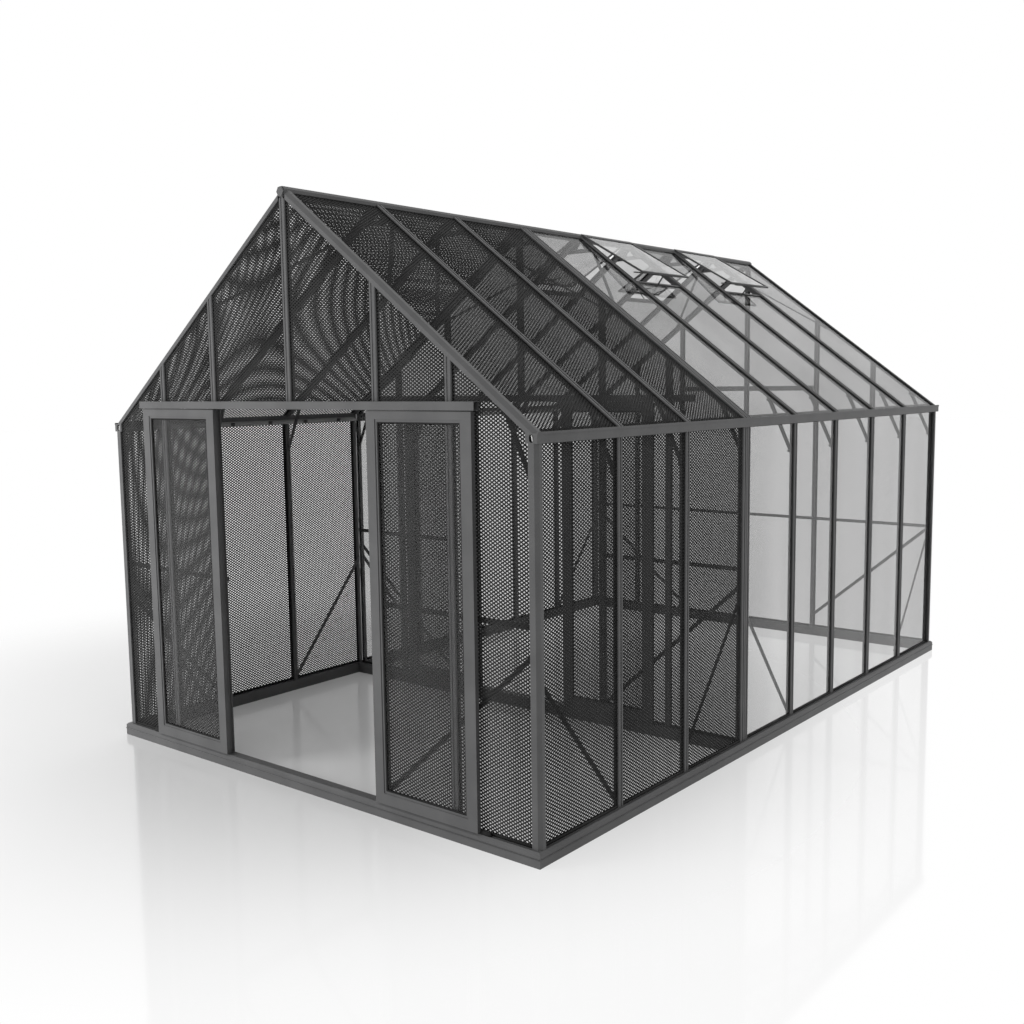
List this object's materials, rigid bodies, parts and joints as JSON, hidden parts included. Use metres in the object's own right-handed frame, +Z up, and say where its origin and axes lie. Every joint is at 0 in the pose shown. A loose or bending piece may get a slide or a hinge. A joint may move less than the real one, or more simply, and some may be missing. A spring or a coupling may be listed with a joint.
{
  "type": "greenhouse",
  "caption": "Gable-roofed greenhouse on a plinth: mesh-clad porch with glass sliding doors, glazed house behind a partition with sliding doors, gutters and propped roof vents.",
  "frame": {"origin": "on the ground under the middle of the overall box", "axes": "+X across the width to the right wall, +Y along the length to the back gable, +Z up"},
  "size_m": [3.25, 5.124, 3.142],
  "materials": {
    "frame": "satin anthracite powder coat on aluminium",
    "brace": "satin dark powder coat on flat metal",
    "hanger": "dark coated steel plate and wheel",
    "mesh": "fine black woven screen",
    "glass": "clear toughened glass"
  },
  "bodies": {
    "house": {"back_gable_bars": "frame", "back_gable_glass": "glass", "base_back": "frame", "base_front": "frame", "base_left": "frame", "base_right": "frame", "corner_posts": "frame", "eave_braces": "brace", "front_door_track": "frame", "front_gable_bars": "frame", "front_gable_mesh": "mesh", "gable_headers": "frame", "gable_rafters": "frame", "left_gutter": "frame", "left_rafters": "frame", "left_roof_glass": "glass", "left_roof_mesh": "mesh", "left_wall_glass": "glass", "left_wall_mesh": "mesh", "left_wall_posts": "frame", "mid_rails": "brace", "partition_bars": "frame", "partition_door_track": "frame", "partition_glass": "glass", "partition_sill": "frame", "ridge_beam": "frame", "ridge_end_caps": "frame", "ridge_gussets": "brace", "right_gutter": "frame", "right_rafters": "frame", "right_roof_glass": "glass", "right_roof_mesh": "mesh", "right_wall_glass": "glass", "right_wall_mesh": "mesh", "right_wall_posts": "frame", "vent_panes": "glass", "vent_sashes": "frame", "vent_sills": "frame", "vent_stays": "brace", "wind_braces": "brace"},
    "front_left_leaf": {"front_left_door": "frame", "front_left_door_glass": "glass", "front_left_door_hangers": "hanger"},
    "front_right_leaf": {"front_right_door": "frame", "front_right_door_glass": "glass", "front_right_door_hangers": "hanger"},
    "partition_left_leaf": {"partition_left_door": "frame", "partition_left_door_glass": "glass", "partition_left_door_hangers": "hanger"},
    "partition_right_leaf": {"partition_right_door": "frame", "partition_right_door_glass": "glass", "partition_right_door_hangers": "hanger"}
  },
  "joints": [
    {"name": "front_right_door_slide", "type": "slide", "parent": "house", "child": "front_right_leaf", "axis": [1, 0, 0], "range_m": [-0.597, 0]},
    {"name": "front_left_door_slide", "type": "slide", "parent": "house", "child": "front_left_leaf", "axis": [-1, 0, 0], "range_m": [-0.597, 0]},
    {"name": "partition_right_door_slide", "type": "slide", "parent": "house", "child": "partition_right_leaf", "axis": [1, 0, 0], "range_m": [-0.347, 0.25]},
    {"name": "partition_left_door_slide", "type": "slide", "parent": "house", "child": "partition_left_leaf", "axis": [-1, 0, 0], "range_m": [-0.347, 0.25]}
  ]
}
